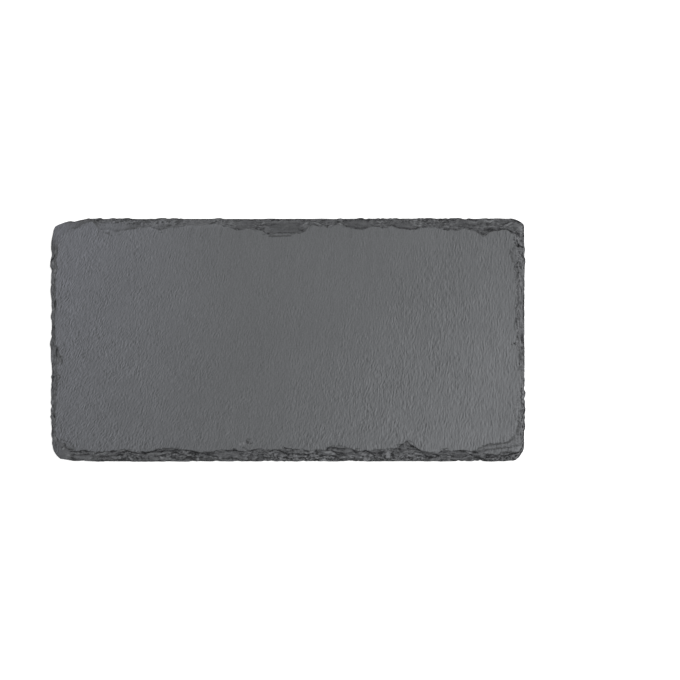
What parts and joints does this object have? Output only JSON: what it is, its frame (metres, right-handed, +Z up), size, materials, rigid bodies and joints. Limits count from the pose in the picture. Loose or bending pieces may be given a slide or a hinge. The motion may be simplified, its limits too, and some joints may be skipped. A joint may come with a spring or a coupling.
{
  "type": "slate serving board",
  "caption": "Flat rectangular serving board of split natural slate with hand-chipped edges, on self-adhesive foam feet",
  "frame": {"origin": "middle of the board's footprint, on the surface that its feet stand on", "axes": "+X along the board's length, +Y across it, +Z up out of the serving face"},
  "size_m": [0.3, 0.1536, 0.0082],
  "materials": {
    "slate": "matt, riven",
    "foot_foam": "matt closed-cell foam",
    "adhesive": "clear acrylic film"
  },
  "bodies": {
    "root": {"slate_slab": "slate", "foot_pad_front_left": "foot_foam", "foot_pad_front_right": "foot_foam", "foot_pad_back_left": "foot_foam", "foot_pad_back_right": "foot_foam", "adhesive_disc_front_left": "adhesive", "adhesive_disc_front_right": "adhesive", "adhesive_disc_back_left": "adhesive", "adhesive_disc_back_right": "adhesive"}
  },
  "joints": []
}
